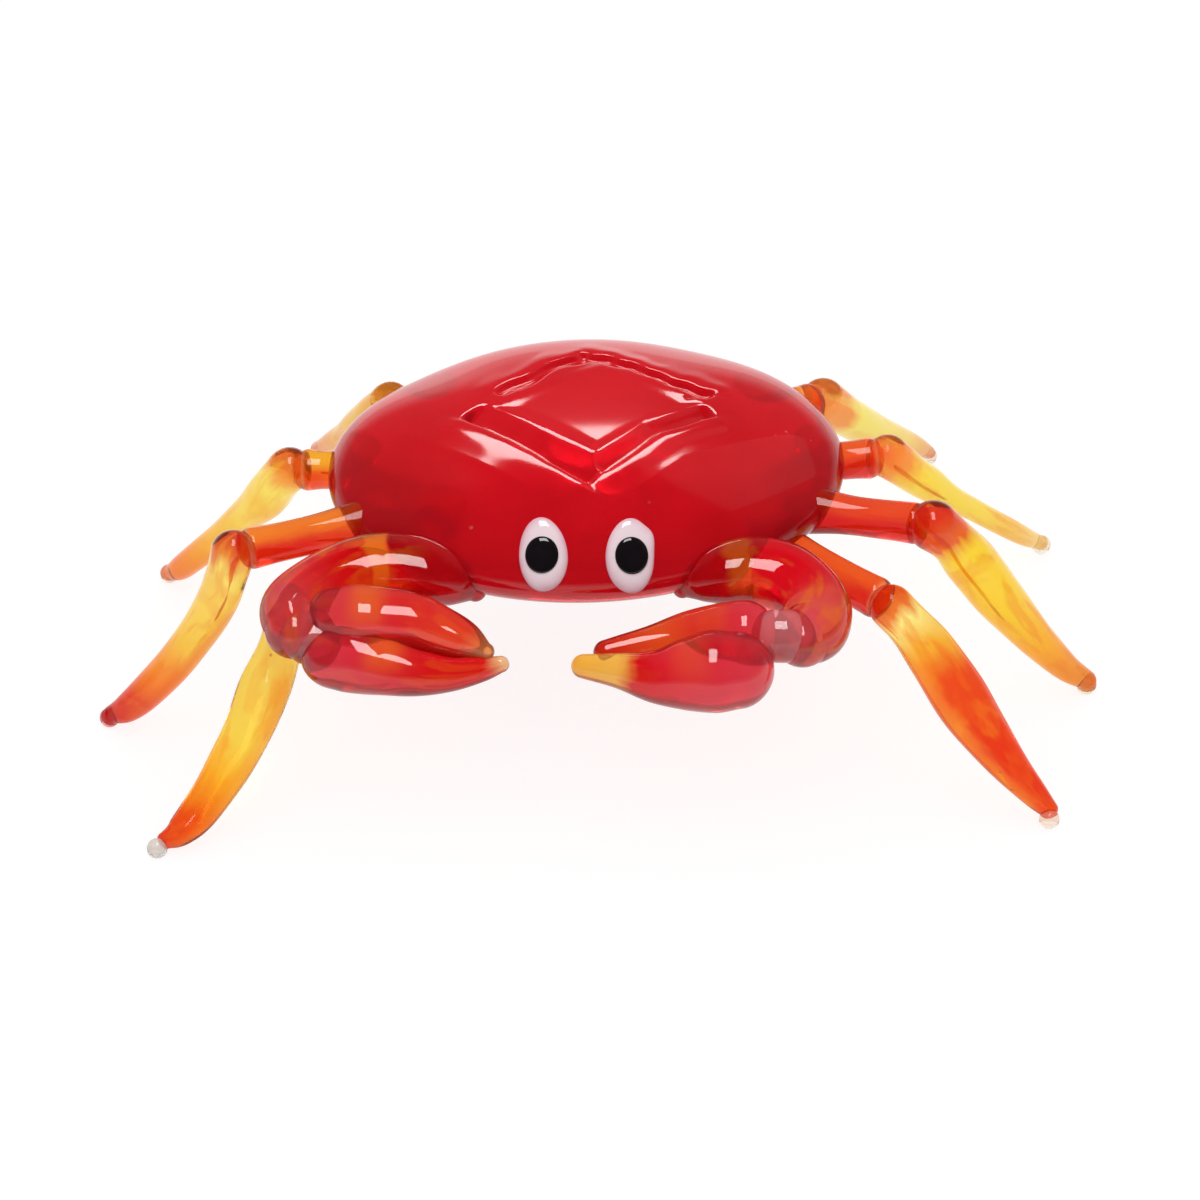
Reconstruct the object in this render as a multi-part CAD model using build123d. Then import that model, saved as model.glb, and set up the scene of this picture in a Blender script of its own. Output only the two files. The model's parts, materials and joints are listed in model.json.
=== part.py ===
from build123d import *
from math import cos, hypot, radians, sin, sqrt
import os

# Crab figurine of flame-worked glass, in millimetres.
# +Z is up, the crab faces -Y, left is -X, and z = 0 is the surface that the feet stand on.
# The origin lies under the middle of the whole figure.

# Shell: a lens, deeper above its rim than below, turned a little on its legs
shell_half_width = 31.3
shell_half_depth = 25.0
crown_height = 8.8
belly_depth = 7.6
rim_height = 25.0
shell_offset_x = -1.9
shell_offset_y = 2.1
shell_turn = 6.0

# Creases pressed round the flat diamond on the shell
crease_radius = 1.7
crease_end_depth = 0.7
# Each crease runs from one place on the shell to another, as shares of its half width and half depth
crease_shares = [
    ((-0.45, 0.08), (-0.04, -0.50)),
    ((0.05, -0.38), (0.49, 0.02)),
    ((-0.33, 0.29), (0.02, 0.60)),
    ((0.08, 0.60), (0.48, 0.18)),
]

# Eyes: a white disc and a black dot, laid on the front slope
white_half_width = 2.8
white_half_height = 4.7
white_proud = 0.9
pupil_half_width = 1.95
pupil_half_height = 2.25
pupil_proud = 0.5
pupil_drop = 0.2
eye_place_shares = {"left": (-0.231, -0.862), "right": (0.089, -0.895)}
eye_lean = {"left": 7.0, "right": -10.0}

# Arms: thick bent rods, from inside the shell to the wrist
arm_radius = 4.0
# Places along each arm, as shares of the shell's half width, half depth and rim height
arm_route_shares = {
    "left": [(-0.40, -0.50, -0.06), (-0.58, -0.72, -0.10), (-0.80, -0.81, -0.09),
             (-1.00, -0.93, -0.05), (-1.09, -1.08, -0.05)],
    "right": [(0.33, -0.50, -0.06), (0.50, -0.72, -0.11), (0.73, -0.77, -0.09),
              (0.87, -0.92, -0.06), (0.88, -1.11, -0.06), (0.81, -1.22, -0.10)],
}
arm_radius_shares = {"left": [0.85, 0.95, 1.0, 1.0, 1.0], "right": [0.85, 0.95, 1.0, 1.0, 1.0, 0.95]}

# Claws: a front lobe with its finger, a rear lobe with the second finger, and a collar at the wrist,
# whose radius is a share of the arm's
claw_length = 20.0
lobe_radius = 4.1
# Middle of each lobe and of the collar from the end of the arm, as shares of the arm's and lobe's radii
# added together
lower_start_shares = {"left": (0.74, -0.54, -0.47), "right": (-1.11, -0.44, -0.25)}
upper_start_shares = {"left": (0.79, -0.05, -0.05), "right": (-0.91, -0.15, 0.185)}
collar_start_shares = {"left": (0.30, -0.30, -0.27), "right": (-0.49, 0.20, 0.05)}
collar_radius_share = 0.80
# Places along each finger from the middle of its lobe, as shares of the claw's length
lower_route_shares = {
    "left": [(0, 0, 0), (0.27, -0.08, 0), (0.50, -0.13, 0), (0.72, -0.10, 0), (0.88, -0.06, 0)],
    "right": [(0, 0, 0), (-0.22, 0.01, 0), (-0.45, -0.06, 0), (-0.63, 0, 0), (-0.83, 0.05, 0)],
}
lower_radius_shares = {"left": [1.00, 0.84, 0.58, 0.40, 0.23], "right": [1.12, 1.06, 0.72, 0.52, 0.33]}
upper_route_shares = {
    "left": [(0, 0, 0), (0.26, 0, 0.03), (0.46, -0.03, 0.02), (0.67, -0.11, -0.04), (0.81, -0.21, -0.11)],
    "right": [(0, 0, 0), (-0.30, 0.10, -0.02), (-0.59, -0.01, -0.05), (-0.80, -0.06, -0.08)],
}
upper_radius_shares = {"left": [0.84, 0.66, 0.49, 0.39, 0.25], "right": [0.90, 0.60, 0.47, 0.34]}

# Legs: a straight rod from the shell to the knee, then a blade down to the foot
rod_radius = 2.3
rod_length = 12.0
rod_taper_share = 0.92
root_depth_share = 0.60
knee_radius = 2.8
blade_reach = 22.0
blade_half_width = 3.0
blade_half_thickness = 2.6
blade_station_shares = [0.14, 0.34, 0.58, 0.80, 1.0]
blade_size_shares = [0.84, 1.0, 0.92, 0.64, 0.34]

# Feet: a clear dab under each tip, ground flat where it stands
dab_radius = 1.25
# Height of the dab's middle, and of the lowest glass of the blade, above the floor as shares of that radius
dab_rise_share = 0.68
blade_rise_share = 0.26

# Each leg: bearings of its root, knee and blade in degrees, the root's drop as a share of the belly, the
# rod's length as a share, the knee's height as a share of the rim's, shares of the blade's reach and of the
# knee's radius, and the blade's bow, inward and sideways, as shares of its own length
leg_shares = {
    "left_rear": (143, 143, 118, 0.13, 0.25, 0.88, 1.02, 0.95, 0.04, 0.00),
    "left_mid_rear": (178, 178, 149, 0.13, 0.42, 0.96, 0.88, 1.00, 0.04, 0.00),
    "left_mid_front": (202, 202, 184, 0.13, 1.20, 1.00, 0.73, 0.95, 0.12, 0.00),
    "left_front": (205, 207, 241, 0.45, 0.98, 0.70, 1.22, 0.95, 0.12, -0.10),
    "right_rear": (33, 33, 50, 0.13, 0.46, 0.88, 1.06, 1.00, 0.00, 0.00),
    "right_mid_rear": (6, 6, 32, 0.13, 0.46, 0.96, 1.13, 0.95, 0.02, 0.00),
    "right_mid_front": (-16, -16, 1, 0.13, 1.07, 1.00, 0.90, 1.12, 0.01, 0.00),
    "right_front": (-22, -32, -39, 0.13, 1.16, 0.84, 1.08, 0.95, -0.03, 0.00),
}

# How far a cutting solid reaches past what it cuts
overrun = 1.0

quarter_turn = 90.0

# Solids that stand on their plane, and solids that hang from it
seated = (Align.CENTER, Align.CENTER, Align.MIN)
hung = (Align.CENTER, Align.CENTER, Align.MAX)

shell_centre = Vector(shell_offset_x, shell_offset_y, rim_height)


def ellipsoid(half_x, half_y, half_z):
    return scale(Sphere(1), by=(half_x, half_y, half_z))


def crown_point(share_x, share_y):
    # a place on the upper surface in the shell's own frame, before it is turned and lifted
    rise = crown_height * sqrt(1 - share_x ** 2 - share_y ** 2)
    return Vector(shell_half_width * share_x, shell_half_depth * share_y, rise)


def crown_normal(share_x, share_y):
    rise_share = sqrt(1 - share_x ** 2 - share_y ** 2)
    return Vector(share_x / shell_half_width, share_y / shell_half_depth, rise_share / crown_height)


def rim_reach(bearing):
    # distance from the middle of the shell to its rim along a bearing
    own = radians(bearing - shell_turn)
    return 1 / hypot(cos(own) / shell_half_width, sin(own) / shell_half_depth)


def along(bearing, reach, rise=0):
    return Vector(reach * cos(radians(bearing)), reach * sin(radians(bearing)), rise)


def tangents(places):
    # unit direction of a route at each of its places
    last = len(places) - 1
    return [(places[min(i + 1, last)] - places[max(i - 1, 0)]).normalized() for i in range(len(places))]


def ring_plane(place, direction):
    # plane across a route, with its x axis level
    side = direction.cross(Vector(0, 0, 1)).normalized()
    return Plane(origin=place, x_dir=side, z_dir=direction)


def limb(places, half_widths, half_heights, round_start=True):
    # a smooth body through elliptical rings, closed by half balls on its round end rings
    planes = [ring_plane(p, d) for p, d in zip(places, tangents(places))]
    rings = [plane * Ellipse(a, b) for plane, a, b in zip(planes, half_widths, half_heights)]
    body = loft(rings)
    body += planes[-1] * Sphere(half_widths[-1], arc_size1=0, arc_size2=quarter_turn, align=seated)
    if round_start:
        body += planes[0] * Sphere(half_widths[0], arc_size1=-quarter_turn, arc_size2=0, align=hung)
    return body


def largest(shape):
    # the main solid, without any sliver that a cut leaves beside it
    return max(shape.solids(), key=lambda s: s.volume)


def make_shell():
    # half of the lens's section, turned about the upright and then drawn in to the shell's depth
    crown = EllipticalCenterArc((0, 0), shell_half_width, crown_height, start_angle=0, arc_size=quarter_turn)
    belly = EllipticalCenterArc(
        (0, 0), shell_half_width, belly_depth, start_angle=-quarter_turn, arc_size=quarter_turn
    )
    section = Plane.XZ * make_face([crown, Line(crown @ 1, belly @ 0), belly])
    body = scale(revolve(section, Axis.Z), by=(1, shell_half_depth / shell_half_width, 1))
    for start_share, end_share in crease_shares:
        lift = Vector(0, 0, crease_radius - crease_end_depth)
        start = crown_point(*start_share) + lift
        end = crown_point(*end_share) + lift
        run = Plane(origin=start, z_dir=end - start)
        body -= run * Cylinder(crease_radius, (end - start).length, align=seated)
        body -= Pos(start) * Sphere(crease_radius)
        body -= Pos(end) * Sphere(crease_radius)
    return Pos(shell_centre) * Rot(0, 0, shell_turn) * largest(body)


def eye_plane(side):
    # plane on the shell under an eye: x runs level across the face, z points out of the glass
    share_x, share_y = eye_place_shares[side]
    place = crown_point(share_x, share_y).rotate(Axis.Z, shell_turn) + shell_centre
    normal = crown_normal(share_x, share_y).rotate(Axis.Z, shell_turn)
    level = Vector(0, 0, 1).cross(normal)
    return Plane(origin=place, x_dir=level, z_dir=normal).rotated((0, 0, eye_lean[side]))


def make_eye(side, shell):
    plane = eye_plane(side)
    white = plane * ellipsoid(white_half_width, white_half_height, white_proud) - shell
    white = largest(white)
    pupil_plane = plane.offset(white_proud) * Pos(0, -pupil_drop)
    pupil = pupil_plane * ellipsoid(pupil_half_width, pupil_half_height, pupil_proud) - white - shell
    return white, largest(pupil)


def arm_places(side):
    spread = Vector(shell_half_width, shell_half_depth, rim_height)
    return [
        shell_centre + Vector(spread.X * x, spread.Y * y, spread.Z * z)
        for x, y, z in arm_route_shares[side]
    ]


def cut_clear(body, others):
    # what is left of a body beside the pieces that it is fused to
    for other in others:
        body -= other
    return largest(body)


def make_arm(side, others):
    radii = [arm_radius * share for share in arm_radius_shares[side]]
    return cut_clear(limb(arm_places(side), radii, radii, round_start=False), others)


def make_finger(start, route_shares, radius_shares, others):
    places = [start + Vector(*place_share) * claw_length for place_share in route_shares]
    radii = [lobe_radius * share for share in radius_shares]
    return cut_clear(limb(places, radii, radii), others)


def make_claw(side, others):
    # a front lobe, a rear lobe and a collar; others are the arm and the legs beside the claw
    wrist = arm_places(side)[-1]
    spread = arm_radius + lobe_radius
    lower_start = wrist + Vector(*lower_start_shares[side]) * spread
    lower = make_finger(lower_start, lower_route_shares[side], lower_radius_shares[side], others)
    upper_start = wrist + Vector(*upper_start_shares[side]) * spread
    upper = make_finger(upper_start, upper_route_shares[side], upper_radius_shares[side], others + [lower])
    collar_place = wrist + Vector(*collar_start_shares[side]) * spread
    collar = Pos(collar_place) * Sphere(arm_radius * collar_radius_share)
    return lower, upper, cut_clear(collar, others + [lower, upper])


def make_leg(name, others):
    # rod, blade and dab; others are the shell and the rods made before
    root_bearing, knee_bearing, blade_bearing, drop_share, rod_share = leg_shares[name][:5]
    height_share, reach_share, knee_share, inward_share, sideways_share = leg_shares[name][5:]
    root_reach = rim_reach(root_bearing) * root_depth_share
    root = shell_centre + along(root_bearing, root_reach, -belly_depth * drop_share)
    middle = Vector(shell_offset_x, shell_offset_y, rim_height * height_share)
    knee = middle + along(knee_bearing, rim_reach(knee_bearing) + rod_length * rod_share)
    foot = knee + along(blade_bearing, blade_reach * reach_share)
    tip_radius = blade_half_width * blade_size_shares[-1]
    foot = Vector(foot.X, foot.Y, tip_radius + dab_radius * blade_rise_share)

    # the bow of the blade, away from its chord
    chord = foot - knee
    sideways = chord.cross(Vector(0, 0, 1)).normalized()
    inward = chord.cross(sideways).normalized()
    bow = (inward * inward_share + sideways * sideways_share) * chord.length
    stations = [0] + blade_station_shares
    places = [knee + chord * share + bow * sin(radians(2 * quarter_turn * share)) for share in stations]
    half_widths = [knee_radius * knee_share] + [blade_half_width * share for share in blade_size_shares]
    half_heights = [knee_radius * knee_share] + [blade_half_thickness * share for share in blade_size_shares]
    half_heights[-1] = half_widths[-1]
    blade = limb(places, half_widths, half_heights)

    run = Plane(origin=root, z_dir=knee - root)
    rod = run * Cone(rod_radius, rod_radius * rod_taper_share, (knee - root).length, align=seated)
    blade = cut_clear(blade, others)
    rod = cut_clear(rod, others + [blade])

    dab = Pos(foot.X, foot.Y, dab_radius * dab_rise_share) * Sphere(dab_radius)
    floor = Pos(foot.X, foot.Y, -dab_radius) * Cylinder(dab_radius + overrun, 2 * dab_radius)
    return rod, blade, cut_clear(dab, [floor, blade])


def main():
    shell = make_shell()
    parts = {"shell": shell}
    rods = []
    for name in leg_shares:
        rod, blade, dab = make_leg(name, [shell] + rods)
        rods.append(rod)
        parts[f"leg_rod_{name}"] = rod
        parts[f"leg_blade_{name}"] = blade
        parts[f"foot_dab_{name}"] = dab
    for side in ("left", "right"):
        parts[f"eye_white_{side}"], parts[f"eye_pupil_{side}"] = make_eye(side, shell)
        near_legs = (f"{side}_mid_front", f"{side}_front")
        beside = [parts[f"leg_{piece}_{leg}"] for leg in near_legs for piece in ("rod", "blade")]
        arm = make_arm(side, [shell] + beside)
        lower, upper, collar = make_claw(side, [arm] + beside)
        parts[f"claw_arm_{side}"] = arm
        parts[f"claw_lower_finger_{side}"] = lower
        parts[f"claw_upper_finger_{side}"] = upper
        parts[f"wrist_collar_{side}"] = collar
    os.makedirs("parts", exist_ok=True)
    for name, shape in parts.items():
        export_step(shape, f"parts/{name}.step")


main()
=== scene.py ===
import json
import math

import bpy
import numpy as np
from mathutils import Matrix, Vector

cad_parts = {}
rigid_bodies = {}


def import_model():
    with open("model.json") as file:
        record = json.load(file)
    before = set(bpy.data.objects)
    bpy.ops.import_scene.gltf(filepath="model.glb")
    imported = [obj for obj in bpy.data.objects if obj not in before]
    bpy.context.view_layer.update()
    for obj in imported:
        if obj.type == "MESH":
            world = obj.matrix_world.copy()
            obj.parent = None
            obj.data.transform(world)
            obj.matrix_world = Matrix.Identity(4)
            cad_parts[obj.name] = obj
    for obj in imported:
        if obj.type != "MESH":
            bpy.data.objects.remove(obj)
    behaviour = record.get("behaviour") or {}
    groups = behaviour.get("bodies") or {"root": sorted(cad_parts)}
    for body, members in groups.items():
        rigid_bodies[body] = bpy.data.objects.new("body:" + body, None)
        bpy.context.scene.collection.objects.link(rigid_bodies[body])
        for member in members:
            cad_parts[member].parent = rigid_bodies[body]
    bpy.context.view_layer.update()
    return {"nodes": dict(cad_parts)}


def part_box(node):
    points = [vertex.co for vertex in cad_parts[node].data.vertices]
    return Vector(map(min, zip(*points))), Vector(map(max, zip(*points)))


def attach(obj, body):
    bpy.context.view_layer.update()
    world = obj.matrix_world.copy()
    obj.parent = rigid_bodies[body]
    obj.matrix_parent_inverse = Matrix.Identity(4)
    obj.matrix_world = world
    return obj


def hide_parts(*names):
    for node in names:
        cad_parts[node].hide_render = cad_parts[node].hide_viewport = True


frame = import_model()


# The shell is one lens-shaped gather of deep red transparent glass. While it was soft, a blade was pressed
# into its crown four times, which left creases with raised lips round a flat diamond.
MM = 0.001
SHELL_HALF_WIDTH = 31.3
SHELL_HALF_DEPTH = 25.0
CROWN_HEIGHT = 8.8
BELLY_DEPTH = 7.6
SHELL_TURN = math.radians(6.0)
SHELL_TOP_RINGS = 140
SHELL_BELLY_RINGS = 44
SHELL_SIDES = 360

shell_low, shell_high = (np.array(corner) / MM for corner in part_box("shell"))
SHELL_MIDDLE = np.array([
    (shell_low[0] + shell_high[0]) / 2,
    (shell_low[1] + shell_high[1]) / 2,
    shell_low[2] + BELLY_DEPTH,
])

# Each crease: its line from end to end on the crown, the width of the slope that rises from it to the
# diamond, its depth, the height and spread of its outer lip, and how much its line wavers. The last one is
# the short hook at the diamond's right corner.
CREASES = [
    ([(-14.1, 1.1), (-4.9, -9.0), (-1.2, -12.5)], 3.8, 1.30, 0.42, 3.0, 0.3),
    ([(1.1, -10.9), (8.0, -4.6), (13.2, -1.9), (14.6, -1.3)], 2.8, 1.05, 0.26, 1.7, 0.3),
    ([(-9.8, 6.1), (-4.5, 10.4), (1.1, 13.8)], 2.0, 0.80, 0.16, 1.5, 1.5),
    ([(1.1, 14.0), (8.4, 8.6), (15.0, 3.5)], 1.6, 0.80, 0.22, 1.5, 1.5),
    ([(15.0, 3.5), (13.2, 2.4)], 0.8, 0.45, 0.05, 1.2, 1.5),
]
CREASE_FLOOR_IN = 0.2
CREASE_FLOOR_OUT = 0.05
CREASE_WALL = 0.75
CREASE_END = (-0.3, 1.1)
CREASE_WAVER = 0.22
# The waves that a crease's line wavers by: their pace across and back, their start and their share
WAVES = [(0.75, 0.3, 0.4, 1.0), (1.4, -0.9, 1.2, 0.5)]
LIP_PLACE = 1.7
LIP_INNER = 0.9
LIP_END = (-1.0, 4.0)
LIP_CLEAR = 0.3

# The diamond: its corners on the crown, its middle height, how far it rises to the back, how it bulges
# sideways and from front to back, and where and how much its front corner bends down more
PLATE_CORNERS = np.array([(-9.9, 2.4), (0.5, -7.3), (13.5, 1.3), (2.9, 10.7)])
PLATE_MIDDLE = PLATE_CORNERS.mean(axis=0)
PLATE_HEIGHT = 8.52
PLATE_TILT = 0.008
PLATE_BULGES = (0.0055, 0.0030)
PLATE_NOSE = (3.0, 0.0077)
PLATE_EDGE = (-1.1, 1.5)
MATT_EDGE = (-0.4, 1.0)

# The front of the crown falls away past a line on it, and both rear shoulders sag a little: the middle of
# each sag, its spread and its depth
FRONT_KEEL = [(-18.0, -3.5), (-9.0, -12.2), (-1.2, -18.0), (3.0, -15.6), (11.0, -9.2), (18.0, -6.2)]
FRONT_DROP = 0.5
FRONT_RUN = 3.0
FRONT_FADE = 0.35
SAGS = [((-17, 16), (9, 8), 0.75), ((15, 18), (8, 8), 0.45)]

SHELL_CLEARNESS = 0.5
SHELL_ROUGHNESS = 0.085
PLATE_ROUGHER = 0.04
CLOUD_SCALE = 38.0
CLOUD_EDGE = (0.35, 0.75)
# The bubbles: how closely they lie and how big they are, then the same of the patches that have them
SHELL_BUBBLES = (260.0, (0.035, 0.09), 90.0, (0.52, 0.60))
BUBBLE_STRENGTH = 0.7


def ease(value, low, high):
    """0 below low, 1 above high, and smooth between them."""
    share = np.clip((value - low) / (high - low), 0, 1)
    return share * share * (3 - 2 * share)


def beside_line(places, line):
    """Distance of each place inward from a bent line, and how far it lies past the line's ends."""
    line = np.array(line, float)
    best = np.full(len(places), np.inf)
    across = np.zeros(len(places))
    past = np.zeros(len(places))
    for k in range(len(line) - 1):
        run = line[k + 1] - line[k]
        length = np.hypot(*run)
        run = run / length
        inward = np.array([-run[1], run[0]])
        if inward @ (line[k] + line[k + 1]) > 0:
            inward = -inward
        offset = places - line[k]
        at = offset @ run
        nearest = np.clip(at, 0, length)
        away = np.hypot(offset[:, 0] - nearest * run[0], offset[:, 1] - nearest * run[1])
        beyond = np.zeros(len(places))
        if k == 0:
            beyond = np.maximum(beyond, -at)
        if k == len(line) - 2:
            beyond = np.maximum(beyond, at - length)
        closer = away < best
        best = np.where(closer, away, best)
        across = np.where(closer, offset @ inward, across)
        past = np.where(closer, beyond, past)
    return across, past


def inside_plate(places):
    """How far each place lies inside the diamond, and below 0 outside it."""
    inside = np.full(len(places), np.inf)
    for k in range(4):
        corner = PLATE_CORNERS[k]
        edge = PLATE_CORNERS[(k + 1) % 4] - corner
        edge = edge / np.hypot(*edge)
        inward = np.array([-edge[1], edge[0]])
        if inward @ (PLATE_MIDDLE - corner) < 0:
            inward = -inward
        inside = np.minimum(inside, (places - corner) @ inward)
    return inside


def crown_rise(places):
    """Height of the shell's upper surface above its rim at places in its own plan, in millimetres."""
    x, y = places[:, 0], places[:, 1]
    share = np.clip((x / SHELL_HALF_WIDTH) ** 2 + (y / SHELL_HALF_DEPTH) ** 2, 0, 1)
    rise = CROWN_HEIGHT * np.sqrt(1 - share)
    forward = np.maximum(-beside_line(places, FRONT_KEEL)[0], 0)
    rise = rise - FRONT_DROP * (1 - np.exp(-forward / FRONT_RUN)) * (1 - share) ** FRONT_FADE
    for (middle_x, middle_y), (spread_x, spread_y), sag in SAGS:
        rise = rise - sag * np.exp(-(((x - middle_x) / spread_x) ** 2) - (((y - middle_y) / spread_y) ** 2))
    back = y - PLATE_MIDDLE[1]
    level = PLATE_HEIGHT + PLATE_TILT * back - PLATE_BULGES[0] * x ** 2 - PLATE_BULGES[1] * back ** 2
    level = level - PLATE_NOSE[1] * np.maximum(-back - PLATE_NOSE[0], 0) ** 2
    plate = ease(inside_plate(places), *PLATE_EDGE)
    rise = rise * (1 - plate) + level * plate
    depth = np.zeros(len(places))
    lip = np.zeros(len(places))
    waver = CREASE_WAVER * sum(part * np.sin(a * x + b * y + start) for a, b, start, part in WAVES)
    for line, slope, deep, raised, spread, wavers in CREASES:
        across, past = beside_line(places, line)
        across = across + waver * wavers
        inner = deep * (1 - ease(across, CREASE_FLOOR_IN, slope))
        outer = deep * (1 - ease(-across, CREASE_FLOOR_OUT, CREASE_WALL))
        depth = np.maximum(depth, np.where(across > 0, inner, outer) * (1 - ease(past, *CREASE_END)))
        beyond = -across - LIP_PLACE
        ridge = np.exp(-((beyond / np.where(beyond < 0, LIP_INNER, spread)) ** 2))
        lip = np.maximum(lip, raised * ridge * (1 - ease(past, *LIP_END)))
    return rise - depth + lip * (1 - ease(depth, 0, LIP_CLEAR))


def turned(points):
    """Points of the shell's own frame, set in place on the figure."""
    c, s = math.cos(SHELL_TURN), math.sin(SHELL_TURN)
    x, y, z = points[:, 0], points[:, 1], points[:, 2]
    return np.stack([c * x - s * y, s * x + c * y, z], axis=1) + SHELL_MIDDLE


def with_poles(rows, start, end):
    """Vertices and faces of a closed skin over rows of rings, from a start point to an end point."""
    rings, sides = rows.shape[:2]
    first, last = rings * sides, rings * sides + 1
    faces = []
    for r in range(rings - 1):
        for s in range(sides):
            t = (s + 1) % sides
            faces.append((r * sides + s, r * sides + t, (r + 1) * sides + t, (r + 1) * sides + s))
    for s in range(sides):
        t = (s + 1) % sides
        faces.append((first, t, s))
        faces.append((last, (rings - 1) * sides + s, (rings - 1) * sides + t))
    return np.vstack([rows.reshape(-1, 3), [start, end]]), faces


def glass_piece(name, node, verts, faces, finish, marks=None):
    """A smooth closed skin in place of a CAD node. marks are numbers kept on its points for its material."""
    verts = np.asarray(verts) * MM
    corners = verts[np.array([face[:3] for face in faces])]
    volume = np.einsum("ij,ij->i", corners[:, 0], np.cross(corners[:, 1], corners[:, 2])).sum()
    if volume < 0:
        faces = [face[::-1] for face in faces]
    mesh = bpy.data.meshes.new(name)
    mesh.from_pydata(verts.tolist(), [], faces)
    mesh.polygons.foreach_set("use_smooth", [True] * len(mesh.polygons))
    for mark, values in (marks or {}).items():
        layer = mesh.attributes.new(mark, "FLOAT", "POINT")
        layer.data.foreach_set("value", np.asarray(values, np.float32))
    mesh.materials.append(finish)
    mesh.update()
    piece = bpy.data.objects.new(name, mesh)
    bpy.context.scene.collection.objects.link(piece)
    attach(piece, "root")
    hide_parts(node)


def seen(red, green, blue):
    """A colour as the eye reads it, 0 to 255 a channel, as the light that the renderer works with."""
    light = []
    for value in (red, green, blue):
        value = value / 255
        light.append(value / 12.92 if value <= 0.04045 else ((value + 0.055) / 1.055) ** 2.4)
    return (*light, 1.0)


class Wire:
    """An output socket in a material. Sums, products and differences of wires add Math nodes."""

    def __init__(self, tree, socket=None):
        self.tree = tree
        self.socket = socket

    def put(self, kind, settings=None, values=None, out=0):
        """A node of a kind: its settings, the values or wires it takes, and the output to go on from."""
        node = self.tree.nodes.new("ShaderNode" + kind)
        for name, value in (settings or {}).items():
            if name == "stops":
                ramp = node.color_ramp
                while len(ramp.elements) < len(value):
                    ramp.elements.new(0.5)
                for element, (place, colour) in zip(ramp.elements, value):
                    element.position = place
                    element.color = colour
            else:
                setattr(node, name, value)
        for name, value in (values or {}).items():
            if isinstance(value, Wire):
                self.tree.links.new(value.socket, node.inputs[name])
            else:
                node.inputs[name].default_value = value
        return Wire(self.tree, None if out is None else node.outputs[out])

    def maths(self, operation, first, second):
        return self.put("Math", {"operation": operation}, {0: first, 1: second})

    def __add__(self, other):
        return self.maths("ADD", self, other)

    def __sub__(self, other):
        return self.maths("SUBTRACT", self, other)

    def __rsub__(self, other):
        return self.maths("SUBTRACT", other, self)

    def __mul__(self, other):
        return self.maths("MULTIPLY", self, other)

    __radd__ = __add__
    __rmul__ = __mul__

    def most(self, other):
        return self.maths("MAXIMUM", self, other)

    def ease(self, low, high):
        """0 below low, 1 above high, and smooth between them."""
        return self.put(
            "MapRange", {"interpolation_type": "SMOOTHSTEP"},
            {"Value": self, "From Min": low, "From Max": high},
        )

    def between(self, rise, fall):
        """1 between two slopes and 0 outside them. Each slope is the two values that it runs over."""
        return self.ease(*rise) * (1 - self.ease(*fall))

    def tint(self, colour, share):
        """This colour turned by a share towards another, given as seen() returns it."""
        return self.put("Mix", {"data_type": "RGBA"}, {0: share, 6: self, 7: self.flat(colour)}, 2)

    def flat(self, colour):
        found = self.put("RGB")
        found.socket.default_value = colour
        return found

    def mark(self, name):
        return self.put("Attribute", {"attribute_name": name}, out="Fac")

    def place(self):
        return self.put("TexCoord", out="Object")

    def noise(self, vector, scale, detail=2.0, distortion=0.0):
        return self.put(
            "TexNoise", None,
            {"Vector": vector, "Scale": scale, "Detail": detail, "Distortion": distortion},
        )

    def bubbles(self, scale, size, patch_scale, patch):
        """Small bubbles, 1 inside and 0 outside, in the patches that a wider noise leaves."""
        cells = self.put(
            "TexVoronoi", {"feature": "F1"},
            {"Vector": self.place(), "Scale": scale, "Randomness": 1.0},
        )
        return (1 - cells.ease(*size)) * self.noise(self.place(), patch_scale, 1.0).ease(*patch)


def new_finish(name):
    """A material with an empty tree, and a wire to build on in it."""
    material = bpy.data.materials.new(name)
    material.use_nodes = True
    material.node_tree.nodes.clear()
    return material, Wire(material.node_tree)


def glass(wires, colour, clearness, roughness=0.02, ior=1.5):
    """Fire-polished glass: clearness is the share of light that goes through rather than scatters."""
    shader = wires.put("BsdfPrincipled", None, {
        "Base Color": colour,
        "Roughness": roughness,
        "IOR": ior,
        "Transmission Weight": clearness,
    })
    wires.put("OutputMaterial", None, {"Surface": shader}, None)


def shell_ring(reach):
    """The rim's outline in the shell's own plan, drawn in to a share of its size."""
    angles = np.linspace(0, 2 * math.pi, SHELL_SIDES, endpoint=False)
    x = SHELL_HALF_WIDTH * reach * np.cos(angles)
    y = SHELL_HALF_DEPTH * reach * np.sin(angles)
    return np.stack([x, y], axis=1)


def shell_rows():
    """Rings of the shell from the top of the crown over the rim to the bottom of the belly."""
    found = []
    for k in range(1, SHELL_TOP_RINGS + 1):
        ring = shell_ring(math.sin(k / SHELL_TOP_RINGS * math.pi / 2))
        found.append(np.column_stack([ring, crown_rise(ring)]))
    for k in range(SHELL_BELLY_RINGS - 1, 0, -1):
        reach = math.sin(k / SHELL_BELLY_RINGS * math.pi / 2)
        drop = -BELLY_DEPTH * math.sqrt(1 - reach ** 2)
        found.append(np.column_stack([shell_ring(reach), np.full(SHELL_SIDES, drop)]))
    return np.array(found)


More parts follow.
